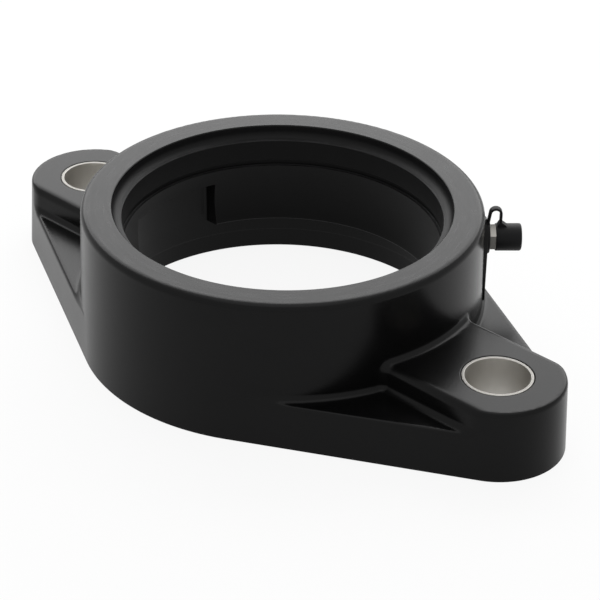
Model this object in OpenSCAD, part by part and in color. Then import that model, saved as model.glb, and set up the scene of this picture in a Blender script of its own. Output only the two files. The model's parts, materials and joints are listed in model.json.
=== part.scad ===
// Two-bolt flange housing for a bearing insert, moulded in plastic,
// with metal bolt sleeves and a capped grease nipple.
// The bore axis is +Z, the mounting face is z = 0 and the two bolts lie along X.

/* [Ring] */
// Height of the ring above the mounting face
ring_h = 42; // [41:0.1:60]
// Outer radius of the ring at the mounting face
ring_r = 57; // [56:0.1:64]
// Moulding draft of the ring's outer wall, in degrees
ring_draft = 1.3; // [0.5:0.1:2.5]
// Round on the ring's top outer edge
ring_edge = 1.3; // [0.5:0.1:3]

/* [Bore] */
// Radius of the ball-shaped seat for the insert
seat_r = 45.2; // [42:0.1:46]
// Height of the seat's centre above the mounting face
seat_z = 21.3; // [18:0.1:25]
// Width of the seat along the bore
seat_w = 18; // [12:0.1:20]
// Radius of the passage above the seat
neck_r = 44.7; // [43:0.1:46]
// Height of the grease groove above the seat
groove_h = 1.7; // [0.5:0.1:2.4]
// Depth of the grease groove behind the seat's edge
groove_depth = 0.9; // [0.4:0.1:1.5]
// Radius of the cover seat in the ring's top face
cover_r = 47.4; // [46:0.1:50]
// Depth of the cover seat
cover_depth = 3.7; // [2:0.1:5]
// Round in the corner of the cover seat's floor
cover_round = 1.2; // [0.4:0.1:1.8]
// Radius of the clearance below the seat
clear_r = 49; // [48:0.1:49.5]
// Radius of the recess in the mounting face
recess_r = 50; // [49.6:0.1:51]
// Depth of the recess in the mounting face
recess_depth = 6.2; // [3:0.1:8]

/* [Insert loading slots] */
// Width of the two slots that let the insert be turned into its seat
slot_w = 31.1; // [20:0.1:34]
// Depth of the slots behind the seat
slot_depth = 3.5; // [1:0.1:3.6]
// Height of the slots' closed ends above the mounting face
slot_top = 25.7; // [22:0.1:28]

/* [Flange] */
// Distance between the two bolt centres
bolt_spacing = 157; // [150:0.5:175]
// Radius of the rounded lug ends at the mounting face
lug_r = 19.3; // [17.5:0.1:23]
// Moulding draft of the lug ends, in degrees
lug_draft = 2.4; // [0:0.1:3]
// Thickness of the flange plate
plate_t = 13.3; // [10:0.1:17]
// Round on the flange plate's top edge
plate_edge = 1.5; // [0.5:0.1:3]

/* [Bolt bosses] */
// Height of the raised bosses above the mounting face
boss_h = 20.6; // [18:0.1:26]
// Half the width of a boss where it meets the flange plate
boss_half_w = 17.6; // [15:0.1:19]
// Moulding draft of the boss sides, in degrees
boss_draft = 3; // [0:0.1:5]
// Round on the bosses' top edge
boss_edge = 2; // [0.5:0.1:3]
// Hollow round where bosses, ring and flange plate meet
root_round = 1.8; // [0.5:0.1:3]

/* [Bolt sleeves] */
// Outer diameter of a bolt sleeve
sleeve_od = 19.2; // [16:0.1:22]
// Wall thickness of a bolt sleeve
sleeve_wall = 0.85; // [0.5:0.05:1.5]
// Gap between a sleeve and its hole, on the radius
sleeve_gap = 0.1; // [0.05:0.01:0.2]

/* [Grease nipple] */
// Direction of the nipple round the bore, in degrees from +X
nipple_angle = 45; // [40:1:70]
// Height of the nipple's pad above the ring's wall
pad_proud = 0.8; // [0.5:0.1:3]
// Half the width of the pad at its face
pad_half_w = 5.8; // [5:0.1:7]
// Slope of the pad's sides, as sideways run for each mm of depth
pad_flare = 0.2; // [0.1:0.1:1.3]
// Radius of the nipple's thread
thread_r = 3; // [2.5:0.1:3.5]
// Length of the nipple's thread in the housing
thread_l = 5.5; // [4:0.1:8]
// Hexagon size across its flats
hex_af = 7; // [6:0.1:8]
// Thickness of the hexagon
hex_t = 1.7; // [1.4:0.1:4]
// Radius of the nipple's head
head_r = 3.25; // [2.9:0.05:3.4]
// Radius of the neck behind the head
neck_round_r = 2.3; // [2:0.05:2.6]
// Length of neck and head beyond the hexagon
head_l = 6.5; // [5:0.1:8]
// Radius of the nipple's grease passage
passage_r = 1.3; // [1.2:0.05:1.5]
// Radius of the ball that closes the nipple
ball_r = 1.2; // [1:0.05:1.3]
// Radius of the spring's wire
spring_wire_r = 0.15; // [0.1:0.01:0.2]
// Number of turns of the spring
spring_turns = 6; // [4:1:10]

/* [Nipple cap] */
// Outer radius of the cap
cap_r = 3.87; // [3.7:0.01:4.5]
// Thickness of the cap's end
cap_end_t = 0.7; // [0.5:0.1:1.5]
// Gap between the cap and the nipple's head
cap_gap = 0.1; // [0.05:0.01:0.2]
// Round on the cap's end
cap_edge = 0.6; // [0.2:0.1:1]
// Outer radius of the holding ring under the hexagon
tie_ring_r = 4.65; // [4.2:0.05:5.5]
// Thickness of the holding ring
tie_ring_t = 0.8; // [0.7:0.1:2]
// Thickness of the strap between ring and cap
strap_t = 0.7; // [0.5:0.05:1.2]
// Width of the strap
strap_w = 2; // [1:0.1:3]
// Height of the strap's arch above the holding ring
strap_rise = 4.5; // [3.5:0.1:6]
// Lean of the strap's leg on the holding ring, towards the cap
strap_lean = 0.4; // [0.1:0.1:0.8]
// Distance of the strap's other leg from the cap's open end
strap_set = 1.3; // [1:0.1:2]

/* [Hidden] */

$fn = 128;
// Pieces of the rounds along edges
round_steps = 7;
// Overrun of a cut past the face it opens
past = 1;
// Depth by which joined forms are sunk into each other
sunk = 1.5;
// Set-back of the flange's sides inside the ring and the lugs that they run into
side_inset = 0.1;

bolt_x = bolt_spacing / 2;
seat_low = seat_z - seat_w / 2;
seat_high = seat_z + seat_w / 2;
groove_top = seat_high + groove_h;
cover_z = ring_h - cover_depth;
slot_r = seat_r + slot_depth;
// Radius of the seat's two edges
seat_edge_r = sqrt(seat_r * seat_r - seat_w * seat_w / 4);

// Flange side: direction of its outward normal, and its length from ring to lug
side_angle = acos((ring_r - lug_r) / bolt_x);
side_l = bolt_x * sin(side_angle);
// Depth of a flange side's solid, which reaches past the pocket's inner corner
side_depth = ring_r / 2;

// The nipple feeds the groove above the seat, through a pad on the ring
nipple_z = seat_high + groove_h / 2;
pad_r = ring_at(nipple_z) + pad_proud;

// Nipple stations along its axis, as distances from the bore axis
hex_r0 = pad_r + tie_ring_t;
hex_r1 = hex_r0 + hex_t;
head_end = hex_r1 + head_l;
thread_end = pad_r - thread_l;
cap_start = hex_r1 + cap_gap / 2;
cap_bore_r = head_r + cap_gap;
cap_bore_end = head_end + cap_gap;
cap_end = cap_bore_end + cap_end_t;
thread_gap = 0.05;
// Ball: it rests against the narrowed mouth at the head's end
mouth_r = 0.8 * ball_r;
mouth_l = 0.5;
ball_gap = 0.05;
ball_pos = head_end - mouth_l - sqrt(pow(ball_r + ball_gap, 2) - mouth_r * mouth_r);
spring_start = thread_end + 2 * mouth_l;
spring_end = ball_pos - ball_r;
spring_r = passage_r - spring_wire_r - 2 * ball_gap;
// Strap: centres of its two legs, and the arch between them
leg_a = pad_r + tie_ring_t / 2;
leg_b = cap_start + strap_set;
arch_r = (leg_b - leg_a - strap_lean) / 2;
tab_h = 0.3;

plastic = [0.06, 0.06, 0.065];
steel = [0.78, 0.77, 0.74];
plating = [0.62, 0.61, 0.57];
rubber = [0.05, 0.05, 0.05];

// Radius of the ring's outer wall at height z
function ring_at(z) = ring_r - z * tan(ring_draft);

// Radius of a lug's end wall at height z
function lug_at(z) = lug_r - z * tan(lug_draft);

// Half width of a boss at height z
function boss_at(z) = boss_half_w - (z - plate_t) * tan(boss_draft);

// Points of an arc about c from angle a to angle b
function arc(c, r, a, b, n = round_steps) = [
    for (i = [0:n]) c + r * [cos(a + (b - a) * i / n), sin(a + (b - a) * i / n)]
];

// Hollow corner between an upright wall at w and a floor at z
function hollow_corner(w, z) = concat(
    [[w - sunk, z + root_round], [w - sunk, z - sunk], [w + root_round, z - sunk]],
    arc([w + root_round, z + root_round], root_round, 270, 180)
);

// Children repeated for each of the four flange quarters
module each_quarter() {
    for (mx = [0, 1]) {
        for (my = [0, 1]) {
            mirror([mx, 0, 0]) mirror([0, my, 0]) children();
        }
    }
}

// Children repeated for each of the two lugs
module each_lug() {
    for (mx = [0, 1]) {
        mirror([mx, 0, 0]) children();
    }
}

// Profile children laid across X and drawn out along X from x0 to x1
module along_x(x0, x1) {
    translate([x0, 0, 0]) rotate([90, 0, 90]) linear_extrude(x1 - x0) children();
}

// Children turned so that their Z axis is the nipple's, with its zero on the bore axis
module on_nipple_axis() {
    rotate([0, 0, nipple_angle]) translate([0, 0, nipple_z]) rotate([0, 90, 0]) children();
}

// Ring as a solid of revolution, before it is bored
module ring_body() {
    rotate_extrude() polygon(concat(
        [[0, 0], [ring_r, 0]],
        arc([ring_at(ring_h) - ring_edge, ring_h - ring_edge], ring_edge, 0, 90),
        [[0, ring_h]]
    ));
}

// Side of the flange plate between ring and lug, drafted, with a rounded top edge
module flange_side() {
    outer = ring_r - side_inset;
    top = outer - (plate_t - plate_edge) * tan(ring_draft);
    rotate([0, 0, side_angle]) rotate([90, 0, 0]) linear_extrude(side_l) polygon(concat(
        [[side_depth, 0], [outer, 0]],
        arc([top - plate_edge, plate_t - plate_edge], plate_edge, 0, 90),
        [[side_depth, plate_t]]
    ));
}

// Section that holds a hollow round between z and the ends of its floor, sloped off above it
function sloped_limit(low, high, z) = [
    [low, z - 2 * sunk], [high, z - 2 * sunk], [high, z], [high - root_round, z + root_round],
    [low, z + root_round]
];

// Part of the flange's top that lies inside its rounded edge
module pocket_limit() {
    edge = ring_at(plate_t) - side_inset - plate_edge;
    rotate([0, 0, side_angle]) rotate([90, 0, 0])
        linear_extrude(side_l) polygon(sloped_limit(side_depth, edge, plate_t));
}

// Half of the section across a boss, from its middle to its side
module boss_section() {
    w = boss_at(boss_h);
    half = concat(
        [[boss_at(0), 0]],
        arc([w - boss_edge, boss_h - boss_edge], boss_edge, 0, 90)
    );
    polygon(concat(half, [for (i = [len(half) - 1:-1:0]) [-half[i][0], half[i][1]]]));
}

// Rounded end of a lug, as a full disc on the bolt axis
module lug_end() {
    translate([bolt_x, 0, 0]) rotate_extrude() polygon(concat(
        [[0, 0], [lug_r, 0]],
        arc([lug_at(boss_h) - boss_edge, boss_h - boss_edge], boss_edge, 0, 90),
        [[0, boss_h]]
    ));
}

// Raised boss that runs straight from a lug's end to the ring
module boss() {
    inner_x = ring_r - lug_r;
    intersection() {
        union() {
            lug_end();
            translate([inner_x, -lug_r, 0]) cube([bolt_x - inner_x, 2 * lug_r, 2 * boss_h]);
        }
        union() {
            along_x(inner_x, bolt_x + 2 * lug_r) boss_section();
            translate([bolt_x, -lug_r, 0]) cube([2 * lug_r, 2 * lug_r, plate_t]);
        }
    }
}

// Hollow rounds at the foot of the ring and of a boss, in one pocket of the flange
module pocket_rounds() {
    intersection() {
        union() {
            rotate_extrude() polygon(hollow_corner(ring_at(plate_t), plate_t));
            along_x(ring_r - lug_r, bolt_x + lug_r / 2) polygon(hollow_corner(boss_half_w, plate_t));
        }
        pocket_limit();
    }
}

// Hollow round between a boss's top and the ring
module boss_top_round() {
    w = boss_at(boss_h) - boss_edge;
    intersection() {
        rotate_extrude() polygon(hollow_corner(ring_at(boss_h), boss_h));
        along_x(0, bolt_x) for (m = [0, 1]) {
            mirror([m, 0]) polygon(sloped_limit(-sunk, w, boss_h));
        }
    }
}

// Pad on the ring that the nipple is screwed into, with an arched top
module nipple_pad() {
    inner = ring_at(ring_h) - ring_edge;
    flare = (pad_r - inner) * pad_flare;
    upright = pad_half_w - side_inset;
    on_nipple_axis() translate([0, 0, inner])
        cylinder(h = pad_r - inner, r1 = pad_half_w + flare, r2 = pad_half_w);
    rotate([0, 0, nipple_angle]) translate([0, 0, plate_t / 2])
        linear_extrude(nipple_z - plate_t / 2) polygon([
            [inner, -upright - flare], [pad_r, -upright], [pad_r, upright], [inner, upright + flare]
        ]);
}

// Everything that is taken out round the bore axis
module bore_cuts() {
    rotate_extrude() polygon([
        [0, -past], [recess_r, -past], [recess_r, recess_depth], [clear_r, recess_depth],
        [clear_r, seat_low], [0, seat_low]
    ]);
    intersection() {
        translate([0, 0, seat_z]) sphere(seat_r);
        translate([0, 0, seat_low - sunk]) cylinder(h = seat_w + sunk + groove_h / 3, r = ring_r);
    }
    rotate_extrude() polygon(concat(
        [
            [0, seat_high], [seat_edge_r + groove_depth, seat_high],
            [seat_edge_r + groove_depth, groove_top], [neck_r, groove_top], [neck_r, cover_z]
        ],
        arc([cover_r - cover_round, cover_z + cover_round], cover_round, 270, 360),
        [[cover_r, ring_h + past], [0, ring_h + past]]
    ));
}

// Two opposite slots, open towards the mounting face
module loading_slots() {
    intersection() {
        translate([0, 0, -past]) cylinder(h = slot_top + past, r = slot_r);
        translate([-ring_r, -slot_w / 2, -2 * past]) cube([2 * ring_r, slot_w, ring_h]);
    }
}

// Holes for the two sleeves, the nipple's thread and its grease
module fitted_holes() {
    each_lug() translate([bolt_x, 0, -past])
        cylinder(h = boss_h + 2 * past, r = sleeve_od / 2 + sleeve_gap);
    on_nipple_axis() {
        translate([0, 0, thread_end - mouth_l]) cylinder(h = ring_r, r = thread_r);
        translate([0, 0, seat_edge_r - past]) cylinder(h = ring_r - seat_edge_r, r = passage_r);
    }
}

// Moulded housing
module housing() {
    color(plastic) difference() {
        union() {
            ring_body();
            each_quarter() flange_side();
            each_lug() boss();
            each_quarter() pocket_rounds();
            each_lug() boss_top_round();
            nipple_pad();
        }
        bore_cuts();
        loading_slots();
        fitted_holes();
    }
}

// Metal sleeve that takes the bolt's load, at side -1 or 1
module bolt_sleeve(side) {
    color(steel) translate([side * bolt_x, 0, 0]) difference() {
        cylinder(h = boss_h, r = sleeve_od / 2);
        translate([0, 0, -past]) cylinder(h = boss_h + 2 * past, r = sleeve_od / 2 - sleeve_wall);
    }
}

module bolt_sleeve_left() {
    bolt_sleeve(-1);
}

module bolt_sleeve_right() {
    bolt_sleeve(1);
}

// Grease nipple: thread, hexagon, neck and head, bored through
module nipple_body() {
    shoulder = head_r - neck_round_r;
    neck_end = head_end - 4 * shoulder;
    color(plating) on_nipple_axis() difference() {
        union() {
            translate([0, 0, thread_end]) cylinder(h = hex_r0 - thread_end, r = thread_r - thread_gap);
            translate([0, 0, hex_r0]) cylinder(h = hex_t, r = hex_af / 2 / cos(30), $fn = 6);
            rotate_extrude() polygon([
                [0, hex_r1 - sunk], [neck_round_r, hex_r1 - sunk], [neck_round_r, neck_end],
                [head_r, neck_end + shoulder], [head_r, neck_end + 2 * shoulder],
                [passage_r + mouth_l, head_end], [0, head_end]
            ]);
        }
        translate([0, 0, spring_start]) cylinder(h = head_end - mouth_l - spring_start, r = passage_r);
        translate([0, 0, thread_end - past]) cylinder(h = head_end - thread_end + 2 * past, r = mouth_r);
    }
}

// Ball that closes the nipple's mouth from inside
module check_ball() {
    color(steel) on_nipple_axis() translate([0, 0, ball_pos]) sphere(ball_r, $fn = 48);
}

// Coil spring behind the ball, as one wire swept along a helix
module ball_spring() {
    sides = 8;
    steps = 14 * spring_turns;
    l = spring_end - spring_start - 2 * spring_wire_r;
    pts = [
        for (i = [0:steps]) for (k = [0:sides - 1])
            let (
                turn = 360 * spring_turns * i / steps,
                out = spring_r - spring_wire_r + spring_wire_r * cos(360 * k / sides)
            )
            [
                out * cos(turn), out * sin(turn),
                l * i / steps + spring_wire_r * (1 + sin(360 * k / sides))
            ]
    ];
    walls = [
        for (i = [0:steps - 1]) for (k = [0:sides - 1])
            let (a = i * sides + k, b = i * sides + (k + 1) % sides)
            each [[a, a + sides, b], [b, a + sides, b + sides]]
    ];
    ends = [
        [for (k = [0:sides - 1]) k],
        [for (k = [sides - 1:-1:0]) steps * sides + k]
    ];
    color(steel) on_nipple_axis() translate([0, 0, spring_start]) polyhedron(pts, concat(walls, ends));
}

// Holding ring clamped under the hexagon, with a flat for the strap on top
module cap_ring() {
    color(rubber) on_nipple_axis() translate([0, 0, pad_r]) difference() {
        union() {
            cylinder(h = tie_ring_t, r = tie_ring_r);
            translate([-tie_ring_r - tab_h, -strap_w / 2, 0]) cube([tie_ring_r, strap_w, tie_ring_t]);
        }
        translate([0, 0, -past]) cylinder(h = tie_ring_t + 2 * past, r = thread_r);
    }
}

// Strap that arches from the holding ring over to the cap
module cap_strap() {
    foot = tie_ring_r + tab_h;
    spring_line = foot + strap_rise - arch_r - strap_t / 2;
    mid = [-spring_line, leg_b - arch_r];
    color(rubber) on_nipple_axis() rotate([90, 0, 0])
        translate([0, 0, -strap_w / 2]) linear_extrude(strap_w) polygon(concat(
            [[-foot, leg_a - strap_t / 2]],
            arc(mid, arch_r + strap_t / 2, 270, 90, 2 * round_steps),
            [[-foot, leg_b + strap_t / 2], [-foot, leg_b - strap_t / 2]],
            arc(mid, arch_r - strap_t / 2, 90, 270, 2 * round_steps),
            [[-foot, leg_a + strap_t / 2]]
        ));
}

// Cap over the nipple's head, with a gusset that carries the strap
module dust_cap() {
    foot = tie_ring_r + tab_h;
    gusset_back = cap_start + tab_h;
    gusset_front = leg_b + 2.5 * strap_t;
    color(rubber) on_nipple_axis() difference() {
        union() {
            rotate_extrude() polygon(concat(
                [[0, cap_start], [cap_r, cap_start]],
                arc([cap_r - cap_edge, cap_end - cap_edge], cap_edge, 0, 90),
                [[0, cap_end]]
            ));
            rotate([90, 0, 0]) translate([0, 0, -strap_w / 2]) linear_extrude(strap_w) polygon([
                [-cap_bore_r, gusset_back], [-cap_r, gusset_back], [-foot, leg_b - strap_t / 2],
                [-foot, leg_b + strap_t / 2], [-cap_r, gusset_front], [-cap_bore_r, gusset_front]
            ]);
        }
        translate([0, 0, cap_start - past]) cylinder(h = cap_bore_end - cap_start + past, r = cap_bore_r);
    }
}

housing();
bolt_sleeve_left();
bolt_sleeve_right();
nipple_body();
check_ball();
ball_spring();
cap_ring();
cap_strap();
dust_cap();
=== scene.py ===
import itertools
import json
import math

import bpy
import numpy as np
from bpy.props import FloatProperty, FloatVectorProperty, PointerProperty
from mathutils import Matrix, Vector


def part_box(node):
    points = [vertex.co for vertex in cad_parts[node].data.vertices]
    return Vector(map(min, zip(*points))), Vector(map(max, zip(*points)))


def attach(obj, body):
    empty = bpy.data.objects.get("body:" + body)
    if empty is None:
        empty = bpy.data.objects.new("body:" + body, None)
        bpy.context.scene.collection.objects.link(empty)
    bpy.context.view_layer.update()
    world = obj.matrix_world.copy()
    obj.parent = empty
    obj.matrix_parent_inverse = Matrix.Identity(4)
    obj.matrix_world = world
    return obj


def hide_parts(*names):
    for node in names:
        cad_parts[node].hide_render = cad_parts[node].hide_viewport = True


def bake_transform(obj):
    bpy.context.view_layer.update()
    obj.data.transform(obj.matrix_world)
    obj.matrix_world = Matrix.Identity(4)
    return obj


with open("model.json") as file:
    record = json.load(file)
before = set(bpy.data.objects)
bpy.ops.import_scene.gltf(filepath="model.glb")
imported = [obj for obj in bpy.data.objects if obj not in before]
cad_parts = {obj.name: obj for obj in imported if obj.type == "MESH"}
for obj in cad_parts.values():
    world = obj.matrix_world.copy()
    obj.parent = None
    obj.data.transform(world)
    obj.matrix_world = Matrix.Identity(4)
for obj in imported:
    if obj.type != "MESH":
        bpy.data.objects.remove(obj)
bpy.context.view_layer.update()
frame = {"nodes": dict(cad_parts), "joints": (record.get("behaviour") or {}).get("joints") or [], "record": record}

bl_info = {
    "name": "Flange Bearing Housing",
    "version": (1, 0, 0),
    "blender": (4, 5, 0),
    "location": "View3D > Sidebar > Housing",
    "description": "Dresses a two-bolt flange bearing housing with its bolt sleeves and grease nipple",
    "category": "Object",
}

MM = 0.001
TINY = 1e-9

# How far a cutting tool reaches past what it cuts, and its rounded lips past the face
PAST = 2 * MM
SKIM = 0.01 * MM
# How far a web reaches into the piece that carries it
SUNK = 0.45 * MM
# How far the moulding is meshed below its mounting face, where it is then cut off
BELOW = 1 * MM

# In grid steps: a slope's reach, and how near the surface a point and a face's middle count as on it
NUDGE = 0.02
POINT_NEAR = 0.025
FACE_NEAR = 0.1
# Times that the mesh's points are moved onto the surface, and the least squared slope reckoned with
SETTLINGS = 4
LEAST_SLOPE = 0.25
# Least agreement between the slope at a point and the face that it shades
SAME_WAY = math.cos(math.radians(40))

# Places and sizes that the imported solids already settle
MOUNTS = {mount["name"]: mount for mount in frame["record"]["mounts"]}
JOINTS = {joint["name"]: joint for joint in frame["joints"]}
HOUSING_LOW, HOUSING_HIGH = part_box("housing")
SLEEVE_LOW, SLEEVE_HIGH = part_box("bolt_sleeve_right")
BALL_LOW, BALL_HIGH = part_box("check_ball")


def mount_radius(name):
    """Radius of a round mount of the record, in metres."""
    return MOUNTS[name]["dims"]["r_mm"] * MM


BOLT_X = MOUNTS["bolt_hole_right"]["pos_m"][0]
SEAT_Z = MOUNTS["insert_seat"]["pos_m"][2]
RECESS_DEPTH = MOUNTS["base_recess"]["dims"]["length_mm"] * MM
NECK_Z = MOUNTS["bore_neck"]["pos_m"][2]
NECK_HALF = MOUNTS["bore_neck"]["dims"]["length_mm"] * MM / 2
COVER_Z = NECK_Z + NECK_HALF
GROOVE_TOP = NECK_Z - NECK_HALF

# The nipple's axis: it leaves the bore axis at the ball's height, along the cap's travel
NIPPLE_OUT = Vector(JOINTS["cap_pull"]["axis"]).normalized()
BALL_CENTRE = (BALL_LOW + BALL_HIGH) / 2
BALL_RADIUS = (BALL_HIGH.z - BALL_LOW.z) / 2
NIPPLE_Z = BALL_CENTRE.z
UP = Vector((0, 0, 1))


def length(name, description, millimetres):
    """A length property, with its default given in millimetres."""
    return FloatProperty(
        name=name, description=description, default=millimetres * MM, unit="LENGTH", precision=5
    )


def angle(name, description, degrees):
    """An angle property, with its default given in degrees."""
    return FloatProperty(
        name=name, description=description, default=math.radians(degrees), subtype="ANGLE"
    )


def fraction(name, description, part):
    """A property from 0 to 1."""
    return FloatProperty(name=name, description=description, default=part, subtype="FACTOR", min=0, max=1)


def colour(name, description, rgb):
    """A colour property."""
    return FloatVectorProperty(
        name=name, description=description, default=rgb, subtype="COLOR", size=3, min=0, max=1
    )


class HousingSizes(bpy.types.PropertyGroup):
    """Sizes of the moulded housing that the frame doesn't give."""

    ring_draft: angle("Ring draft", "Moulding draft of the ring and the flange's sides", 1.3)
    lug_draft: angle("Lug draft", "Moulding draft of the lug ends", 2.4)
    boss_draft: angle("Boss draft", "Moulding draft of the bosses' sides", 3)
    ring_edge: length("Ring edge", "Round on the ring's top outer edge", 1.9)
    plate_thickness: length("Plate thickness", "Thickness of the flange plate", 13.3)
    flange_edge: length("Flange edge", "Round on the top edges of flange plate and lugs", 0.9)
    boss_half_width: length("Boss half width", "Half the width of a boss at the flange plate", 17.6)
    boss_edge: length("Boss edge", "Round on the bosses' top edges", 2)
    root_round: length("Root round", "Hollow round at the foot of ring and bosses", 1.9)
    seat_radius: length("Seat radius", "Radius of the ball-shaped seat", 45.2)
    seat_width: length("Seat width", "Width of the seat along the bore", 18)
    clear_radius: length("Clearance radius", "Radius of the clearance below the seat", 49)
    groove_depth: length("Groove depth", "Depth of the grease groove behind the seat's edge", 0.9)
    cover_round: length("Cover round", "Round in the corner of the cover seat's floor", 2.3)
    lip_round: length("Lip round", "Round on the bore's lips", 0.5)
    slot_width: length("Slot width", "Width of the two insert loading slots", 31.1)
    slot_depth: length("Slot depth", "Depth of the loading slots behind the seat", 3.5)
    slot_top: length("Slot top", "Height of the loading slots' closed ends", 25.7)
    hole_lip: length("Hole lip", "Round on the lips of the sleeves' holes", 0.45)
    sleeve_gap: length("Sleeve gap", "Gap between a sleeve and its hole", 0.1)
    sleeve_edge: length("Sleeve edge", "Round on the sleeves' edges", 0.18)
    pad_proud: length("Pad height", "Height of the pad above the ring's wall", 0.8)
    pad_half_width: length("Pad half width", "Half the width of the pad at its face", 5.8)
    pad_flare: fraction("Pad flare", "Sideways slope of the pad's sides", 0.2)
    pad_chamfer: length("Pad chamfer", "Chamfer round the pad's face", 0.15)
    grid: length("Grid", "Spacing of the points that the moulding is meshed from", 0.8)


class NippleSizes(bpy.types.PropertyGroup):
    """Sizes of the nipple and its cap that the frame doesn't give."""

    thread_radius: length("Thread radius", "Outer radius of the thread", 2.95)
    thread_pitch: length("Thread pitch", "Pitch of the thread", 1)
    thread_depth: length("Thread depth", "Depth of the thread", 0.5)
    thread_length: length("Thread length", "Length of the thread in the housing", 5.5)
    thread_gap: length("Thread gap", "Gap between the thread and what it goes through", 0.05)
    hexagon: length("Hexagon", "Size of the hexagon across its flats", 7)
    hexagon_thickness: length("Hexagon thickness", "Thickness of the hexagon", 1.7)
    hexagon_bevel: length("Hexagon bevel", "Chamfer on the hexagon's corners", 0.3)
    head_radius: length("Head radius", "Radius of the nipple's head", 3.25)
    neck_radius: length("Neck radius", "Radius of the neck behind the head", 2.3)
    head_length: length("Head length", "Length of neck and head beyond the hexagon", 6.5)
    passage_radius: length("Passage radius", "Radius of the grease passage", 1.3)
    mouth_length: length("Mouth length", "Length of the narrowed mouth", 0.5)
    mouth_share: fraction("Mouth share", "Radius of the mouth as a share of the ball's", 0.8)
    spring_radius: length("Spring radius", "Radius of the spring at its wire's middle", 0.9)
    wire_radius: length("Wire radius", "Radius of the spring's wire", 0.15)
    spring_turns: FloatProperty(name="Spring turns", description="Turns of the spring", default=6)
    cap_radius: length("Cap radius", "Outer radius of the cap", 3.87)
    cap_end: length("Cap end", "Thickness of the cap's end", 0.7)
    cap_gap: length("Cap gap", "Gap between the cap and the head", 0.1)
    cap_edge: length("Cap edge", "Round on the cap's end", 0.6)
    cap_lip: length("Cap lip", "Round on the cap's open end", 0.2)
    cap_flat: fraction("Cap flat", "Flat share of the cap's end", 0.4)
    gusset_length: length("Gusset length", "Reach of the gusset in front of the strap", 1.75)
    ring_radius: length("Holding ring radius", "Outer radius of the holding ring", 4.65)
    ring_thickness: length("Holding ring thickness", "Thickness of the holding ring", 0.8)
    ring_edge: length("Holding ring edge", "Round on the holding ring's outer edge", 0.3)
    strap_thickness: length("Strap thickness", "Thickness of the strap", 0.7)
    strap_width: length("Strap width", "Width of the strap", 2)
    strap_rise: length("Strap rise", "Height of the arch above the holding ring", 4.5)
    strap_foot: length("Strap foot", "Height of the feet above the holding ring", 0.3)
    strap_lean: length("Strap lean", "Lean of the strap's leg on the holding ring", 0.4)
    strap_set: length("Strap set", "Distance of the other leg from the cap's open end", 1.3)


class Finishes(bpy.types.PropertyGroup):
    """Colours of the finishes."""

    plastic: colour("Plastic", "Satin black moulded plastic", (0.0028, 0.0028, 0.0029))
    scuff: colour("Scuffs", "Pale scuffs on the ring's top", (0.056, 0.056, 0.058))
    sleeve: colour("Sleeve steel", "Stainless tube of the bolt sleeves", (0.54, 0.525, 0.495))
    plating: colour("Nipple plating", "Plated steel of the nipple", (0.30, 0.29, 0.27))
    spring: colour("Spring steel", "Bright steel of ball and spring", (0.62, 0.62, 0.61))
    rubber: colour("Cap rubber", "Soft black plastic of the cap", (0.0055, 0.0055, 0.006))
    backdrop: colour("Backdrop", "Floor and background", (1, 1, 1))


class StageSizes(bpy.types.PropertyGroup):
    """Camera and light."""

    focal_length: FloatProperty(
        name="Focal length", description="Camera lens, for the usual sensor", default=142.88, unit="CAMERA"
    )
    azimuth: angle("Azimuth", "Direction of the camera round the object, from -Y", 42.75)
    elevation: angle("Elevation", "Height of the camera above the horizon", 30.89)
    roll: angle("Roll", "Turn of the camera about its own axis", 1.19)
    distance: length("Distance", "Distance from the camera to its target", 677.65)
    target: FloatVectorProperty(
        name="Target", description="Point that the camera looks at", default=(0.00313, 0.00442, 0.00992),
        subtype="TRANSLATION", precision=5,
    )
    floor_radius: length("Floor radius", "Radius of the pale floor", 1500)
    floor_paper: fraction("Floor paper", "Shade of the floor where it takes light", 0.9)
    floor_glow: fraction("Floor glow", "Part of the floor that is plain white to the eye", 0.9)
    floor_mirrored: fraction("Floor mirrored", "Part of that white which surfaces mirror", 0.8)
    world_dimming: fraction("World dimming", "Loss of the background where it only gives light", 0.55)
    softbox_power: FloatProperty(
        name="Softbox power", description="Power of the large softbox behind", default=11, unit="POWER"
    )
    softbox_elevation: angle("Softbox elevation", "Height of the softbox above the horizon", 38)
    softbox_distance: length("Softbox distance", "Distance from the softbox to the object", 900)
    softbox_width: length("Softbox width", "Width of the softbox", 1500)
    softbox_height: length("Softbox height", "Height of the softbox", 800)
    fill_power: FloatProperty(
        name="Fill power", description="Power of the overhead fill", default=2, unit="POWER"
    )
    fill_elevation: angle("Fill elevation", "Height of the fill above the horizon", 86)
    fill_distance: length("Fill distance", "Distance from the fill to the object", 1100)
    fill_size: length("Fill size", "Side of the square fill", 1000)


def arithmetic(operation):
    """Methods for an operator on values and for its reflected form, which both add a Math node."""
    def plain(self, other):
        return self.math(operation, self, other)

    def reflected(self, other):
        return self.math(operation, other, self)

    return plain, reflected


class Value:
    """A number, colour or vector that varies over a surface, with Python's arithmetic for numbers."""

    __add__, __radd__ = arithmetic("ADD")
    __sub__, __rsub__ = arithmetic("SUBTRACT")
    __mul__, __rmul__ = arithmetic("MULTIPLY")
    __pow__, __rpow__ = arithmetic("POWER")
    __lt__, __gt__ = arithmetic("LESS_THAN")

    def __init__(self, finish, socket):
        self.finish = finish
        self.socket = socket

    def math(self, operation, first, second):
        """Adds a Math node on two values or numbers."""
        return self.finish.node("ShaderNodeMath", {"operation": operation}, {0: first, 1: second})


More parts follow.
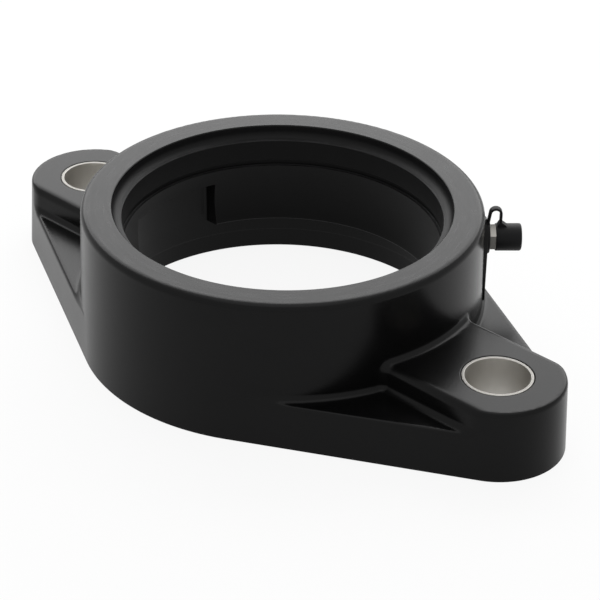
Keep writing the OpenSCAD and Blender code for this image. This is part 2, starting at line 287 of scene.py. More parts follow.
class Finish:
    """A node tree under construction: a material's or the world's."""

    def __init__(self, tree):
        self.tree = tree
        tree.nodes.clear()

    def node(self, kind, settings=None, inputs=None, output=0):
        """Adds a node: its type, its settings, its sockets' values or links. Returns one output."""
        made = self.tree.nodes.new(kind)
        for name, value in (settings or {}).items():
            setattr(made, name, value)
        for name, value in (inputs or {}).items():
            self.feed(made.inputs[name], value)
        return Value(self, made.outputs[output]) if made.outputs else None

    def feed(self, socket, value):
        """Links a varying value to a socket, or sets a fixed one on it."""
        if isinstance(value, Value):
            self.tree.links.new(value.socket, socket)
        elif isinstance(value, (tuple, list)) and len(value) == 3 and socket.type == "RGBA":
            socket.default_value = (*value, 1)
        else:
            socket.default_value = value

    def position(self, scale=(1, 1, 1)):
        """Place on the object, stretched along its axes."""
        place = self.node("ShaderNodeTexCoord", output="Object")
        return self.node("ShaderNodeVectorMath", {"operation": "MULTIPLY"}, {0: place, 1: scale})

    def noise(self, place, scale, detail=3, roughness=0.5):
        """Soft noise from 0 to 1 about 0.5, with features of 1 / scale metres."""
        inputs = {"Vector": place, "Scale": scale, "Detail": detail, "Roughness": roughness}
        return self.node("ShaderNodeTexNoise", None, inputs)

    def blend(self, share, first, second):
        """Colour between two, by a varying share."""
        settings = {"data_type": "RGBA", "blend_type": "MIX"}
        return self.node("ShaderNodeMix", settings, {0: share, 6: first, 7: second}, output=2)

    def level(self):
        """1 where a surface is level, falling to 0 where it is upright."""
        normal = self.node("ShaderNodeNewGeometry", output="Normal")
        rise = self.node("ShaderNodeSeparateXYZ", None, {0: normal}, output="Z")
        return (rise * rise) ** 4

    def polar(self):
        """Distance from the object's upright axis, and turn round it in radians."""
        place = self.node("ShaderNodeTexCoord", output="Object")
        x, y = (self.node("ShaderNodeSeparateXYZ", None, {0: place}, output=axis) for axis in "XY")
        return (x * x + y * y) ** 0.5, x.math("ARCTAN2", y, x)

    def bump(self, height, distance, strength):
        """Normal of a surface with small relief."""
        inputs = {"Strength": strength, "Distance": distance, "Height": height}
        return self.node("ShaderNodeBump", None, inputs)

    def surface(self, inputs):
        """Ends the tree in one shader with these sockets."""
        shader = self.node("ShaderNodeBsdfPrincipled", None, inputs)
        self.node("ShaderNodeOutputMaterial", None, {"Surface": shader})


def material(name):
    """An empty material and the finish that fills it."""
    made = bpy.data.materials.new(name)
    made.use_nodes = True
    return made, Finish(made.node_tree)


def tint(rgb, factor):
    """A colour made lighter or darker."""
    return tuple(min(1, part * factor) for part in rgb)


def moulded_plastic(finishes):
    """Satin black plastic with grain and flow marks, scuffed on the ring's top and dull in the bore."""
    made, finish = material("moulded_plastic")
    grain = finish.noise(finish.position(), scale=2600)
    flow = finish.noise(finish.position((1, 1, 2.5)), scale=38, roughness=0.6)
    cloud = finish.noise(finish.position(), scale=110, detail=4, roughness=0.65)
    clean = finish.blend(cloud, tint(finishes.plastic, 0.7), tint(finishes.plastic, 1.3))
    # A radian counts as 6 mm, so the scuffs are long round the ring and narrow across it
    radius, turn = finish.polar()
    around = finish.node("ShaderNodeCombineXYZ", None, {"X": 6 * MM * turn, "Y": radius})
    streaks = finish.noise(around, scale=900, roughness=0.6) ** 3
    scuffs = streaks * finish.level() * (radius < HOUSING_HIGH.y)
    bored = radius < mount_radius("cover_seat")
    finish.surface({
        "Base Color": finish.blend(scuffs, clean, tuple(finishes.scuff)),
        "Roughness": 0.19 + 0.08 * flow + 0.03 * grain + 0.25 * bored,
        "Specular IOR Level": 0.13,
        "Normal": finish.bump(grain + 0.8 * cloud, distance=0.02 * MM, strength=0.5),
    })
    return made


def drawn_steel(name, rgb, roughness, drawn_along, painted_end_shade=1):
    """Steel with fine lines along the direction that it was drawn in; its level ends are rougher and get a painted
    shade, a darker colour that tones down how they catch the light.
    """
    made, finish = material(name)
    lines = finish.noise(finish.position(drawn_along), scale=2400, roughness=0.6)
    stain = finish.noise(finish.position(), scale=160)
    level = finish.level()
    drawn = finish.blend(stain, tint(rgb, 0.86), tint(rgb, 1.08))
    finish.surface({
        # Painted shade: the level ends' colour is darkened to tone down how brightly they catch the light
        "Base Color": finish.blend(level, drawn, tint(rgb, painted_end_shade)),
        "Metallic": 1.0,
        "Roughness": roughness - 0.06 + 0.14 * lines + 0.2 * level,
        "Normal": finish.bump(lines, distance=0.01 * MM, strength=0.4),
    })
    return made


def cap_rubber(rgb):
    """Soft black plastic with a dull, slightly blotchy skin."""
    made, finish = material("cap_rubber")
    grain = finish.noise(finish.position(), scale=3800)
    bloom = finish.noise(finish.position(), scale=420)
    finish.surface({
        "Base Color": finish.blend(bloom, tint(rgb, 0.8), tint(rgb, 1.5)),
        "Roughness": 0.42 + 0.16 * bloom,
        "Specular IOR Level": 0.14,
        "Normal": finish.bump(grain, distance=0.03 * MM, strength=0.4),
    })
    return made


def arc(centre, radius, start, end, steps=8):
    """Points of an arc in a plane, with angles in degrees."""
    angles = np.radians(np.linspace(start, end, steps + 1))
    return [(centre[0] + radius * math.cos(a), centre[1] + radius * math.sin(a)) for a in angles]


def new_object(name, points, faces):
    """A mesh object in the scene."""
    mesh = bpy.data.meshes.new(name)
    mesh.from_pydata([tuple(point) for point in points], [], [tuple(face) for face in faces])
    mesh.validate()
    made = bpy.data.objects.new(name, mesh)
    bpy.context.scene.collection.objects.link(made)
    return made


def turned(name, profile, segments=96):
    """Solid of revolution about Z of a closed outline of (radius, z) points, with outward faces."""
    area = sum(a[0] * b[1] - b[0] * a[1] for a, b in zip(profile, profile[1:] + profile[:1]))
    outline = profile if area > 0 else profile[::-1]
    points, rows = [], []
    for radius, z in outline:
        if radius < TINY:
            rows.append([len(points)] * segments)
            points.append((0, 0, z))
            continue
        rows.append(list(range(len(points), len(points) + segments)))
        for step in range(segments):
            turn = 2 * math.pi * step / segments
            points.append((radius * math.cos(turn), radius * math.sin(turn), z))
    faces = []
    for low, high in zip(rows, rows[1:] + rows[:1]):
        for step in range(segments):
            after = (step + 1) % segments
            ring = [low[step], low[after], high[after], high[step]]
            face = [point for place, point in enumerate(ring) if point != ring[place - 1]]
            if len(face) > 2:
                faces.append(face)
    return new_object(name, points, faces)


def extruded(name, outline, low, high):
    """Prism along Z over an outline of (x, y) points that runs anticlockwise."""
    count = len(outline)
    points = [(x, y, z) for z in (low, high) for x, y in outline]
    walls = [
        (step, (step + 1) % count, count + (step + 1) % count, count + step) for step in range(count)
    ]
    ends = [tuple(range(count))[::-1], tuple(range(count, 2 * count))]
    return new_object(name, points, walls + ends)


def swept(name, centres, sections):
    """Tube with closed ends through a section at each centre; a section is points about the centre."""
    count = len(sections[0])
    points = [centre + offset for centre, section in zip(centres, sections) for offset in section]
    faces = [
        (row + side, row + (side + 1) % count, row + count + (side + 1) % count, row + count + side)
        for row in range(0, count * (len(centres) - 1), count)
        for side in range(count)
    ]
    last = count * (len(centres) - 1)
    faces.append(tuple(range(count))[::-1])
    faces.append(tuple(range(last, last + count)))
    return new_object(name, points, faces)


def apply_modifiers(piece):
    """Replaces a piece's mesh by what its modifiers make of it, and returns the new mesh."""
    graph = bpy.context.evaluated_depsgraph_get()
    mesh = bpy.data.meshes.new_from_object(piece.evaluated_get(graph))
    piece.modifiers.clear()
    spent = piece.data
    piece.data = mesh
    mesh.name = piece.name
    bpy.data.meshes.remove(spent)
    return mesh


def combine(target, tool, operation):
    """Cuts target by tool, joins them or keeps what they share, and removes the tool."""
    step = target.modifiers.new(operation.lower(), "BOOLEAN")
    step.operation = operation
    step.solver = "MANIFOLD"
    step.object = tool
    result = apply_modifiers(target)
    bpy.data.meshes.remove(tool.data)
    if not result.polygons:
        raise RuntimeError(f"{target.name}: nothing is left after {operation.lower()}")
    return target


def dress(piece, finish, body, node, crease=35):
    """Gives a piece its finish and shading, and ties it to the frame."""
    piece.data.materials.clear()
    piece.data.materials.append(finish)
    piece.data.polygons.foreach_set("use_smooth", [True] * len(piece.data.polygons))
    piece.data.set_sharp_from_angle(angle=math.radians(crease))
    if body:
        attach(piece, body)
    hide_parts(node)
    return piece


def join_round(a, b, radius):
    """Signed distance to two solids joined with a hollow round."""
    both = np.hypot(np.maximum(radius - a, 0), np.maximum(radius - b, 0))
    return np.maximum(radius, np.minimum(a, b)) - both


def meet_round(a, b, radius):
    """Signed distance to what two solids share, with a rounded edge."""
    both = np.hypot(np.maximum(radius + a, 0), np.maximum(radius + b, 0))
    return np.minimum(-radius, np.maximum(a, b)) + both


def level_mesh(name, distance, low, high, step):
    """Closed mesh of the surface where a signed distance is zero, from a grid of points."""
    counts = np.ceil((high - low) / step).astype(int) + 1
    axes = [low[axis] + step * np.arange(counts[axis]) for axis in range(3)]
    values = distance(*np.meshgrid(*axes, indexing="ij"))
    inside = values < 0
    corners = np.array(list(itertools.product((0, 1), repeat=3)))
    filled = sum(
        inside[i:counts[0] - 1 + i, j:counts[1] - 1 + j, k:counts[2] - 1 + k].astype(int)
        for i, j, k in corners
    )
    crossed = (filled > 0) & (filled < len(corners))
    cells = np.argwhere(crossed)
    number = np.full(crossed.shape, -1)
    number[crossed] = np.arange(len(cells))
    points = low + step * (cells + cell_middles(values, cells, corners))
    for _ in range(SETTLINGS):
        points -= surface_offset(distance, points, step)
    faces = []
    for axis in range(3):
        across, beyond = (np.eye(3, dtype=int)[(axis + turn) % 3] for turn in (1, 2))
        before = np.take(inside, range(counts[axis] - 1), axis)
        after = np.take(inside, range(1, counts[axis]), axis)
        edges = np.argwhere(before != after)
        outward = before[tuple(edges.T)]
        around = [edges - across - beyond, edges - beyond, edges, edges - across]
        quads = np.stack([number[tuple(cell.T)] for cell in around], 1)
        quads[~outward] = quads[~outward, ::-1]
        faces.extend(quads.tolist())
    return new_object(name, points, faces)


def cell_middles(values, cells, corners):
    """Mean place, inside each cell, of the points where its edges cross the surface."""
    levels = np.stack([values[tuple((cells + corner).T)] for corner in corners], 1)
    total = np.zeros((len(cells), 3))
    hits = np.zeros(len(cells))
    for a, b in itertools.combinations(range(len(corners)), 2):
        if np.abs(corners[a] - corners[b]).sum() == 1:
            cut = (levels[:, a] < 0) != (levels[:, b] < 0)
            share = levels[cut, a] / (levels[cut, a] - levels[cut, b])
            total[cut] += corners[a] + share[:, None] * (corners[b] - corners[a])
            hits += cut
    return total / hits[:, None]


def slope_at(distance, points, step):
    """Slope of a signed distance at points, as vectors that lead away from the solid."""
    nudge = NUDGE * step
    return np.stack([
        distance(*(points + nudge * axis).T) - distance(*(points - nudge * axis).T) for axis in np.eye(3)
    ], 1) / (2 * nudge)


def surface_offset(distance, points, step):
    """Vectors that lead from the surface to points near it, at most half a grid step long."""
    slope = slope_at(distance, points, step)
    steep = np.maximum((slope ** 2).sum(1), LEAST_SLOPE)
    return np.clip(distance(*points.T) / steep, -step / 2, step / 2)[:, None] * slope


def vectors(items, name):
    """Array of a mesh's vectors, one row for each item."""
    flat = np.empty(3 * len(items))
    items.foreach_get(name, flat)
    return flat.reshape(-1, 3)


def shade_by_slope(piece, distance, step):
    """Shades a mesh by the slope of a signed distance where it lies on its surface, else by its faces."""
    even = piece.modifiers.new("even_shading", "WEIGHTED_NORMAL")
    even.keep_sharp = True
    mesh = apply_modifiers(piece)
    points = vectors(mesh.vertices, "co")
    middles = vectors(mesh.polygons, "center")
    sides = vectors(mesh.polygons, "normal")
    by_face = vectors(mesh.corner_normals, "vector")
    counts = np.empty(len(mesh.polygons), dtype=np.int32)
    mesh.polygons.foreach_get("loop_total", counts)
    corners = np.empty(len(mesh.loops), dtype=np.int32)
    mesh.loops.foreach_get("vertex_index", corners)
    slope = slope_at(distance, points, step)
    slope /= np.maximum(np.linalg.norm(slope, axis=1), TINY)[:, None]
    point_on = np.abs(distance(*points.T)) < POINT_NEAR * step
    face_on = np.abs(distance(*middles.T)) < FACE_NEAR * step
    agrees = (slope[corners] * np.repeat(sides, counts, axis=0)).sum(1) > SAME_WAY
    moulded = point_on[corners] & agrees & np.repeat(face_on, counts)
    chosen = np.where(moulded[:, None], slope[corners], by_face)
    mesh.normals_split_custom_set(chosen.tolist())


def moulding_distance(sizes):
    """Signed distance to the housing's outside, before it is bored, as a function of x, y and z."""
    ring_r, ring_h = HOUSING_HIGH.y, HOUSING_HIGH.z
    lug_r, boss_h = HOUSING_HIGH.x - BOLT_X, SLEEVE_HIGH.z
    plate = sizes.plate_thickness

    def outline(x, y, ring, lug):
        lean = (ring - lug) / BOLT_X
        level = np.sqrt(1 - lean ** 2)
        reach = level * x - lean * y
        straight = lean * x + level * y - ring
        at_lug = np.hypot(x - BOLT_X, y) - lug
        return np.where(reach < 0, np.hypot(x, y) - ring, np.where(reach > level * BOLT_X, at_lug, straight))

    def distance(x, y, z):
        ring_wall = ring_r - z * math.tan(sizes.ring_draft)
        lug_wall = lug_r - z * math.tan(sizes.lug_draft)
        boss_wall = sizes.boss_half_width - (z - plate) * math.tan(sizes.boss_draft)
        ring = meet_round(np.hypot(x, y) - ring_wall, z - ring_h, sizes.ring_edge)
        bosses = meet_round(np.abs(y) - boss_wall, z - boss_h, sizes.boss_edge)
        upper = join_round(join_round(ring, z - plate, sizes.root_round), bosses, sizes.root_round)
        edge = outline(np.abs(x), np.abs(y), ring_wall, lug_wall)
        body = np.minimum(ring, meet_round(upper, edge, sizes.flange_edge))
        return np.maximum(body, -z - BELOW)

    return distance


def nipple_pad(sizes):
    """Arched pad on the ring's wall that the nipple is screwed into, with a narrow chamfer."""
    face = nipple_stations(bpy.context.scene.nipple_sizes)["pad"]
    root = HOUSING_HIGH.y - HOUSING_HIGH.z * math.tan(sizes.ring_draft) - sizes.ring_edge
    low = sizes.plate_thickness / 2 - NIPPLE_Z

    def arch(half):
        return [Vector((x, y, 0)) for x, y in [(-half, low), (half, low), *arc((0, 0), half, 0, 180, 32)]]

    half, chamfer = sizes.pad_half_width, sizes.pad_chamfer
    levels = [(root, half + (face - root) * sizes.pad_flare), (face - chamfer, half), (face, half - chamfer)]
    pad = swept("pad", [UP * out for out, _ in levels], [arch(width) for _, width in levels])
    return on_nipple_axis(pad)


def bore_outline(sizes):
    """Half section of everything that is cut out round the bore axis, as (radius, z) points."""
    lip = sizes.lip_round
    recess_r, neck_r, cover_r = (mount_radius(n) for n in ("base_recess", "bore_neck", "cover_seat"))
    top = HOUSING_HIGH.z
    half = sizes.seat_width / 2
    tilt = math.degrees(math.asin(half / sizes.seat_radius))
    lower = math.degrees(math.asin((half - lip) / sizes.seat_radius))
    seat = arc((0, SEAT_Z), sizes.seat_radius, -lower, tilt, 24)
    groove_r = seat[-1][0] + sizes.groove_depth
    small = lip / 2
    return [
        (0, -PAST), (recess_r + lip, -PAST),
        *arc((recess_r + lip, lip - SKIM), lip, 265, 180, 5),
        (recess_r, RECESS_DEPTH),
        *arc((sizes.clear_radius + small, RECESS_DEPTH + small), small, 270, 180, 4),
        (sizes.clear_radius, seat[0][1] - lip),
        *arc((seat[0][0] + lip, seat[0][1]), lip, 270, 180, 5),
        *seat[1:],
        *arc((groove_r - small, seat[-1][1] + small), small, 270, 360, 4),
        *arc((groove_r - small, GROOVE_TOP - small), small, 0, 90, 4),
        *arc((neck_r + small, GROOVE_TOP + small), small, 270, 180, 4),
        *arc((neck_r + small, COVER_Z - small), small, 180, 90, 5),
        *arc((cover_r - sizes.cover_round, COVER_Z + sizes.cover_round), sizes.cover_round, 270, 360, 8),
        *arc((cover_r + lip, top - lip + SKIM), lip, 180, 95, 5),
        (cover_r + lip, top + PAST), (0, top + PAST),
    ]


def slot_outline(sizes, side):
    """Outline of a loading slot from the bore axis outwards, at side -1 or 1."""
    outer = sizes.seat_radius + sizes.slot_depth
    half = sizes.slot_width / 2
    corner = 2 * sizes.lip_round
    reach = math.sqrt((outer - corner) ** 2 - (half - corner) ** 2)
    turn = math.degrees(math.atan2(half - corner, reach))
    quarter = [
        *arc((0, 0), outer, 0, turn, 24),
        *arc((reach, half - corner), corner, turn, 90, 5)[1:],
        (0, half),
    ]
    whole = [(x, -y) for x, y in quarter[:0:-1]] + quarter
    return [(side * x, side * y) for x, y in whole]


def hole_outline(radius, high, lip):
    """Half section of a plain hole from the mounting face up to a height, with rounded lips."""
    return [
        (0, -PAST), (radius + lip, -PAST),
        *arc((radius + lip, lip - SKIM), lip, 265, 180, 5),
        *arc((radius + lip, high - lip + SKIM), lip, 180, 95, 5),
        (radius + lip, high + PAST), (0, high + PAST),
    ]


def on_nipple_axis(piece):
    """Turns a piece made along Z onto the nipple's axis, with its zero on the bore axis."""
    side = UP.cross(NIPPLE_OUT)
    place = Matrix((side, UP, NIPPLE_OUT)).transposed().to_4x4()
    piece.data.transform(Matrix.Translation((0, 0, NIPPLE_Z)) @ place)
    return piece


def nipple_stations(sizes):
    """Places along the nipple's axis by name, as distances from the bore axis."""
    pad = HOUSING_HIGH.y - NIPPLE_Z * math.tan(bpy.context.scene.housing_sizes.ring_draft)
    pad += bpy.context.scene.housing_sizes.pad_proud
    hexagon = pad + sizes.ring_thickness
    neck = hexagon + sizes.hexagon_thickness
    head = neck + sizes.head_length
    ball = Vector((BALL_CENTRE.x, BALL_CENTRE.y, 0)).length
    return {
        "thread": pad - sizes.thread_length, "pad": pad, "hexagon": hexagon, "neck": neck, "head": head,
        "cap": neck + sizes.cap_gap / 2, "cap_bore": head + sizes.cap_gap,
        "cap_end": head + sizes.cap_gap + sizes.cap_end, "ball": ball,
        "spring": pad - sizes.thread_length + 2 * sizes.mouth_length,
        "strap_a": pad + sizes.ring_thickness / 2,
        "strap_b": neck + sizes.cap_gap / 2 + sizes.strap_set,
    }


class HOUSING_OT_moulding(bpy.types.Operator):
    """Make the moulded housing: ring, flange plate, bosses and nipple pad, then its bores"""

    bl_idname = "flange_housing.moulding"
    bl_label = "Moulded housing"

    def execute(self, context):
        sizes = context.scene.housing_sizes
        step = sizes.grid * 1
        margin = np.full(3, 2.5 * step)
        low = np.array(HOUSING_LOW) - margin
        high = np.array(HOUSING_HIGH) + margin
        distance = moulding_distance(sizes)
        housing = level_mesh("moulded_housing", distance, low, high, step)
        reach = 2 * HOUSING_HIGH.x
        square = [(-reach, -reach), (reach, -reach), (reach, reach), (-reach, reach)]
        combine(housing, extruded("above_floor", square, 0, reach), "INTERSECT")
        combine(housing, nipple_pad(sizes), "UNION")
        combine(housing, turned("bore", bore_outline(sizes), segments=256), "DIFFERENCE")
        for side in (-1, 1):
            slot = extruded("slot", slot_outline(sizes, side), -PAST, sizes.slot_top)
            combine(housing, slot, "DIFFERENCE")
            radius = SLEEVE_HIGH.y + sizes.sleeve_gap
            hole = turned("hole", hole_outline(radius, SLEEVE_HIGH.z, sizes.hole_lip))
            hole.data.transform(Matrix.Translation((side * BOLT_X, 0, 0)))
            combine(housing, hole, "DIFFERENCE")
        combine(housing, self.tapping(sizes, context.scene.nipple_sizes), "DIFFERENCE")
        finish = moulded_plastic(context.scene.finishes)
        dress(housing, finish, "housing", "housing")
        shade_by_slope(housing, distance, step)
        return {"FINISHED"}

    def tapping(self, sizes, nipple):
        """Tool for the nipple's thread hole and its grease passage"""
        at = nipple_stations(nipple)
        thread_r, passage_r = nipple.thread_radius + nipple.thread_gap, nipple.passage_radius
        start, end = at["thread"] - nipple.thread_pitch / 2, at["hexagon"]
        inner = sizes.seat_radius - PAST
        return on_nipple_axis(turned("tapping", [
            (0, inner), (passage_r, inner), (passage_r, start), (thread_r, start), (thread_r, end), (0, end)
        ], segments=48))


class HOUSING_OT_sleeves(bpy.types.Operator):
    """Make the two metal bolt sleeves"""

    bl_idname = "flange_housing.sleeves"
    bl_label = "Bolt sleeves"

    def execute(self, context):
        outer, inner = SLEEVE_HIGH.y, mount_radius("bolt_hole_right")
        low, high = SLEEVE_LOW.z, SLEEVE_HIGH.z
        edge = context.scene.housing_sizes.sleeve_edge
        outline = [
            *arc((outer - edge, low + edge), edge, -90, 0, 4),
            *arc((outer - edge, high - edge), edge, 0, 90, 4),
            *arc((inner + edge, high - edge), edge, 90, 180, 4),
            *arc((inner + edge, low + edge), edge, 180, 270, 4),
        ]
        rgb = context.scene.finishes.sleeve
        # The sleeves' level ends get a painted shade, about half as bright, to tone down how they catch the light
        finish = drawn_steel("sleeve_steel", rgb, roughness=0.42, drawn_along=(1, 1, 0.06), painted_end_shade=0.52)
        for side, name in ((-1, "left"), (1, "right")):
            sleeve = turned(f"sleeve_{name}", outline, segments=128)
            sleeve.data.transform(Matrix.Translation((side * BOLT_X, 0, 0)))
            dress(sleeve, finish, "housing", f"bolt_sleeve_{name}")
        return {"FINISHED"}


class HOUSING_OT_nipple(bpy.types.Operator):
    """Make the grease nipple with its thread, hexagon, neck and head, and its ball and spring"""

    bl_idname = "flange_housing.nipple"
    bl_label = "Grease nipple"

    def execute(self, context):
        sizes = context.scene.nipple_sizes
        at = nipple_stations(sizes)
        finishes = context.scene.finishes
        body = self.body(sizes, at)
        plating = drawn_steel("nipple_plating", finishes.plating, roughness=0.36, drawn_along=(1, 1, 1))
        dress(on_nipple_axis(body), plating, "housing", "nipple_body")
        spring_steel = drawn_steel("spring_steel", finishes.spring, roughness=0.22, drawn_along=(1, 1, 0.3))
        ball = frame["nodes"]["check_ball"]
        ball.data.materials.clear()
        ball.data.materials.append(spring_steel)
        spring = on_nipple_axis(self.spring(sizes, at))
        dress(spring, spring_steel, None, "ball_spring", crease=180)
        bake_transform(spring)
        return {"FINISHED"}

    def body(self, sizes, at):
        """Turned body joined with its chamfered hexagon, then bored"""
        thread_r, root_r = sizes.thread_radius, sizes.thread_radius - sizes.thread_depth
        # The head is as long as four of its shoulders are wide
        shoulder = sizes.head_radius - sizes.neck_radius
        neck_end = at["head"] - 4 * shoulder
        neck_root = at["neck"] - sizes.hexagon_thickness / 3
        ridges = int(sizes.thread_length / sizes.thread_pitch)
        thread = []
        for ridge in range(ridges):
            z = at["thread"] + ridge * sizes.thread_pitch
            thread += [(root_r, z), (thread_r, z + sizes.thread_pitch / 2)]
        body = turned("grease_nipple", [
            (0, at["thread"]), *thread, (thread_r, at["pad"]), (thread_r, neck_root),
            (sizes.neck_radius, neck_root), (sizes.neck_radius, neck_end),
            (sizes.head_radius, neck_end + shoulder), (sizes.head_radius, neck_end + 2 * shoulder),
            (sizes.passage_radius + sizes.mouth_length, at["head"]), (0, at["head"]),
        ], segments=64)
        corner_r = sizes.hexagon / 2 / math.cos(math.pi / 6)
        hexagon = extruded("hexagon", arc((0, 0), corner_r, 30, 330, 5), at["hexagon"], at["neck"])
        bevel = sizes.hexagon_bevel
        chamfer = turned("chamfer", [
            (0, at["hexagon"] - bevel), (corner_r - bevel, at["hexagon"] - bevel),
            (corner_r + bevel, at["hexagon"] + bevel), (corner_r + bevel, at["neck"] - bevel),
            (corner_r - bevel, at["neck"] + bevel / 2), (0, at["neck"] + bevel / 2),
        ], segments=64)
        combine(hexagon, chamfer, "INTERSECT")
        combine(body, hexagon, "UNION")
        mouth_r = sizes.mouth_share * BALL_RADIUS
        closed = at["head"] - sizes.mouth_length
        passage = turned("passage", [
            (0, at["thread"] - PAST), (mouth_r, at["thread"] - PAST), (mouth_r, at["spring"]),
            (sizes.passage_radius, at["spring"]), (sizes.passage_radius, closed), (mouth_r, closed),
            (mouth_r, at["head"] + PAST), (0, at["head"] + PAST),
        ], segments=48)
        return combine(body, passage, "DIFFERENCE")

    def spring(self, sizes, at):
        """Wire swept along a helix, behind the ball"""
        wire = sizes.wire_radius
        low = at["spring"] + wire
        high = at["ball"] - BALL_RADIUS - wire
        steps_a_turn = 28
        steps = int(steps_a_turn * sizes.spring_turns)
        wire_round = arc((0, 0), wire, 360, 0, 12)[1:]
        centres, sections = [], []
        for step in range(steps + 1):
            turn = 2 * math.pi * sizes.spring_turns * step / steps
            out = Vector((math.cos(turn), math.sin(turn), 0))
            centres.append(out * sizes.spring_radius + UP * (low + (high - low) * step / steps))
            sections.append([out * across + UP * along for across, along in wire_round])
        return swept("nipple_spring", centres, sections)


class HOUSING_OT_cap(bpy.types.Operator):
    """Make the dust cap with its holding ring and strap"""

    bl_idname = "flange_housing.cap"
    bl_label = "Nipple cap"

    def execute(self, context):
        sizes = context.scene.nipple_sizes
        at = nipple_stations(sizes)
        finish = cap_rubber(context.scene.finishes.rubber)
        ring = on_nipple_axis(self.ring(sizes, at))
        dress(ring, finish, "housing", "cap_ring")
        cap = on_nipple_axis(self.cap(sizes, at))
        dress(cap, finish, "cap", "dust_cap")
        strap = on_nipple_axis(self.strap(sizes, at))
        dress(strap, finish, None, "cap_strap", crease=60)
        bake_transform(strap)
        return {"FINISHED"}

    def tab(self, name, sizes, outline):
        """Flat web in the plane of strap and nipple axis, as wide as the strap"""
        made = extruded(name, outline, -sizes.strap_width / 2, sizes.strap_width / 2)
        made.data.transform(Matrix(((0, 0, 1), (1, 0, 0), (0, 1, 0))).to_4x4())
        return made

    def ring(self, sizes, at):
        """Holding ring with a flat for the strap"""
        edge = sizes.ring_edge
        outer, low, high = sizes.ring_radius, at["pad"], at["hexagon"]
        inner = sizes.thread_radius + sizes.thread_gap
        ring = turned("cap_holding_ring", [
            (inner, low), (outer, low), *arc((outer - edge, high - edge), edge, 0, 90, 4), (inner, high)
        ], segments=64)
        foot, root = outer + sizes.strap_foot, outer - SUNK
        tab = self.tab("tab", sizes, [(root, low), (foot, low), (foot, high), (root, high)])
        return combine(ring, tab, "UNION")

    def cap(self, sizes, at):
        """Cap with a slightly domed end, a lip, and the gusset that carries the strap"""
        radius, edge, lip = sizes.cap_radius, sizes.cap_edge, sizes.cap_lip
        bore = sizes.head_radius + sizes.cap_gap
        low, high = at["cap"], at["cap_end"]
        cap = turned("nipple_cap", [
            (0, at["cap_bore"]), (bore, at["cap_bore"]), (bore, low),
            *arc((radius - lip, low + lip), lip, -90, 0, 4),
            *arc((radius - edge, high - edge), edge, 0, 80, 6),
            (radius * sizes.cap_flat, high), (0, high),
        ], segments=72)
        foot = sizes.ring_radius + sizes.strap_foot
        strap, thin = at["strap_b"], sizes.strap_thickness / 2
        back, front = low + sizes.strap_foot, strap + sizes.gusset_length
        root = radius - SUNK
        gusset = self.tab("gusset", sizes, [
            (root, back), (radius, back), (foot, strap - thin), (foot, strap + thin), (radius, front),
            (root, front),
        ])
        return combine(cap, gusset, "UNION")

    def strap(self, sizes, at):
        """Strap that arches from the holding ring to the cap, with rounded edges"""
        foot = sizes.ring_radius + sizes.strap_foot
        thin, half = sizes.strap_thickness / 2, sizes.strap_width / 2
        arch_r = (at["strap_b"] - at["strap_a"] - sizes.strap_lean) / 2
        high, middle = foot + sizes.strap_rise - arch_r - thin, at["strap_b"] - arch_r
        leg_steps = 6
        ring_leg = np.linspace((foot, at["strap_a"]), (high, middle - arch_r), leg_steps, endpoint=False)
        cap_leg = np.linspace((foot, at["strap_b"]), (high, at["strap_b"]), leg_steps, endpoint=False)
        line = [*ring_leg, *arc((high, middle), arch_r, -90, 90, 20), *cap_leg[::-1]]
        edge = 0.6 * thin
        section = []
        for turn, (u, v) in zip((0, 90, 180, 270), ((1, 1), (-1, 1), (-1, -1), (1, -1))):
            section += arc((u * (half - edge), v * (thin - edge)), edge, turn, turn + 90, 3)
        wide = Vector((1, 0, 0))
        centres, sections = [], []
        for place, (rise, out) in enumerate(line):
            before, after = line[max(place - 1, 0)], line[min(place + 1, len(line) - 1)]
            along = Vector((0, after[0] - before[0], after[1] - before[1])).normalized()
            across = wide.cross(along)
            centres.append(Vector((0, rise, out)))
            sections.append([wide * u + across * v for u, v in section])
        return swept("nipple_cap_strap", centres, sections)


def direction(azimuth, elevation):
    """Unit vector towards an azimuth from -Y and an elevation."""
    level = math.cos(elevation)
    return Vector((math.sin(azimuth) * level, -math.cos(azimuth) * level, math.sin(elevation)))


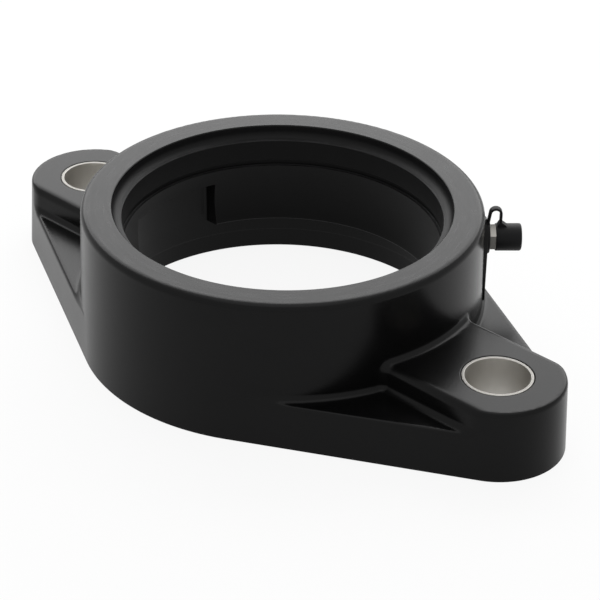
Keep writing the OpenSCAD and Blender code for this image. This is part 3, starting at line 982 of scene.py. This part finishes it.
class HOUSING_OT_stage(bpy.types.Operator):
    """Make the pale floor, the background, the studio light and the camera"""

    bl_idname = "flange_housing.stage"
    bl_label = "Stage"

    def execute(self, context):
        stage = context.scene.stage_sizes
        backdrop = context.scene.finishes.backdrop
        self.floor(stage, backdrop)
        self.world(context.scene, stage, backdrop)
        centre = Vector(stage.target)
        behind = direction(stage.azimuth + math.pi, stage.softbox_elevation) * stage.softbox_distance
        softbox_size = (stage.softbox_width, stage.softbox_height)
        self.lamp("softbox_behind", centre, behind, softbox_size, stage.softbox_power)
        overhead = direction(stage.azimuth, stage.fill_elevation) * stage.fill_distance
        self.lamp("overhead_fill", centre, overhead, (stage.fill_size, stage.fill_size), stage.fill_power)
        self.camera(context.scene, stage, centre)
        context.scene.view_settings.view_transform = "Standard"
        return {"FINISHED"}

    def seen(self, finish, mirrored=1):
        """1 for rays to the eye or through glass, a share for mirrored ones, and 0 for light"""
        camera, glossy, through = (
            finish.node("ShaderNodeLightPath", output=name)
            for name in ("Is Camera Ray", "Is Glossy Ray", "Is Transmission Ray")
        )
        return camera + mirrored * glossy + through

    def floor(self, stage, backdrop):
        """Pale round floor that keeps a faint shadow of the object"""
        radius, low = stage.floor_radius, -1 * MM
        floor = turned("floor", [(0, low), (radius, low), (radius, 0), (0, 0)])
        made, finish = material("pale_floor")
        paper = finish.node("ShaderNodeBsdfDiffuse", None, {"Color": tint(backdrop, stage.floor_paper)})
        glow = finish.node("ShaderNodeEmission", None, {"Color": tuple(backdrop), "Strength": 1.0})
        white = self.seen(finish, stage.floor_mirrored) * stage.floor_glow
        mixed = finish.node("ShaderNodeMixShader", None, {0: white, 1: paper, 2: glow})
        finish.node("ShaderNodeOutputMaterial", None, {"Surface": mixed})
        floor.data.materials.append(made)

    def world(self, scene, stage, backdrop):
        """Background that looks white, and is dimmer where it only gives light"""
        scene.world = bpy.data.worlds.new("studio")
        scene.world.use_nodes = True
        finish = Finish(scene.world.node_tree)
        strength = 1 - stage.world_dimming * (1 - self.seen(finish))
        shade = finish.node("ShaderNodeBackground", None, {"Color": tuple(backdrop), "Strength": strength})
        finish.node("ShaderNodeOutputWorld", None, {"Surface": shade})

    def lamp(self, name, centre, away, size, power):
        """Rectangular lamp away from a point and turned towards it"""
        light = bpy.data.lights.new(name, "AREA")
        light.shape = "RECTANGLE"
        light.size, light.size_y = size
        light.energy = power
        lamp = bpy.data.objects.new(name, light)
        lamp.location = centre + away
        lamp.rotation_euler = away.to_track_quat("Z", "Y").to_euler()
        bpy.context.scene.collection.objects.link(lamp)

    def camera(self, scene, stage, centre):
        """Camera that sees the object as the photograph does"""
        lens = bpy.data.cameras.new("camera")
        lens.lens = stage.focal_length
        camera = bpy.data.objects.new("camera", lens)
        back = direction(stage.azimuth, stage.elevation)
        turn = back.to_track_quat("Z", "Y").to_matrix() @ Matrix.Rotation(stage.roll, 3, "Z")
        camera.matrix_world = Matrix.Translation(centre + back * stage.distance) @ turn.to_4x4()
        scene.collection.objects.link(camera)
        scene.camera = camera


class HOUSING_PT_panel(bpy.types.Panel):
    """Sidebar panel that lists the sizes and the operators"""

    bl_idname = "HOUSING_PT_panel"
    bl_label = "Flange bearing housing"
    bl_space_type = "VIEW_3D"
    bl_region_type = "UI"
    bl_category = "Housing"

    def draw(self, context):
        for group in GROUPS:
            box = self.layout.box()
            sizes = getattr(context.scene, group)
            for name in sizes.bl_rna.properties.keys():
                if name not in ("rna_type", "name"):
                    box.prop(sizes, name)
        for operator in OPERATORS:
            self.layout.operator(operator.bl_idname)


GROUPS = {
    "housing_sizes": HousingSizes,
    "nipple_sizes": NippleSizes,
    "finishes": Finishes,
    "stage_sizes": StageSizes,
}
OPERATORS = (
    HOUSING_OT_moulding, HOUSING_OT_sleeves, HOUSING_OT_nipple, HOUSING_OT_cap, HOUSING_OT_stage
)
CLASSES = (*GROUPS.values(), *OPERATORS, HOUSING_PT_panel)


def register():
    for each in CLASSES:
        bpy.utils.register_class(each)
    for name, group in GROUPS.items():
        setattr(bpy.types.Scene, name, PointerProperty(type=group))


def unregister():
    for name in GROUPS:
        delattr(bpy.types.Scene, name)
    for each in reversed(CLASSES):
        bpy.utils.unregister_class(each)


def main():
    """Makes all pieces and the stage."""
    register()
    bpy.ops.flange_housing.moulding()
    bpy.ops.flange_housing.sleeves()
    bpy.ops.flange_housing.nipple()
    bpy.ops.flange_housing.cap()
    bpy.ops.flange_housing.stage()


if __name__ == "__main__":
    main()
